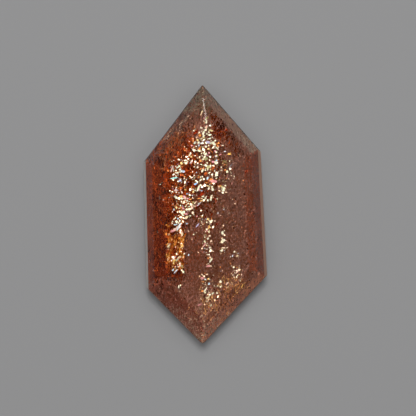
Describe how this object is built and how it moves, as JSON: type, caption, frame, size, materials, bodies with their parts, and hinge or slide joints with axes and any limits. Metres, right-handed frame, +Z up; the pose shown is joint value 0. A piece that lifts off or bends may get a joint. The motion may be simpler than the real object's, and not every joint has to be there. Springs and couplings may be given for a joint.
{
  "type": "step cut sunstone",
  "caption": "Loose step cut sunstone gem: a long flat stone pointed at both ends, with stepped facets round a flat table and glittering flakes inside.",
  "frame": {"origin": "on the resting surface, under the middle of the outline", "axes": "+Y along the stone towards its sharper tip, +X across it, +Z up through the table"},
  "size_m": [0.012, 0.025, 0.0048],
  "materials": {
    "sunstone": "polished"
  },
  "bodies": {
    "root": {"sunstone": "sunstone"}
  },
  "joints": []
}
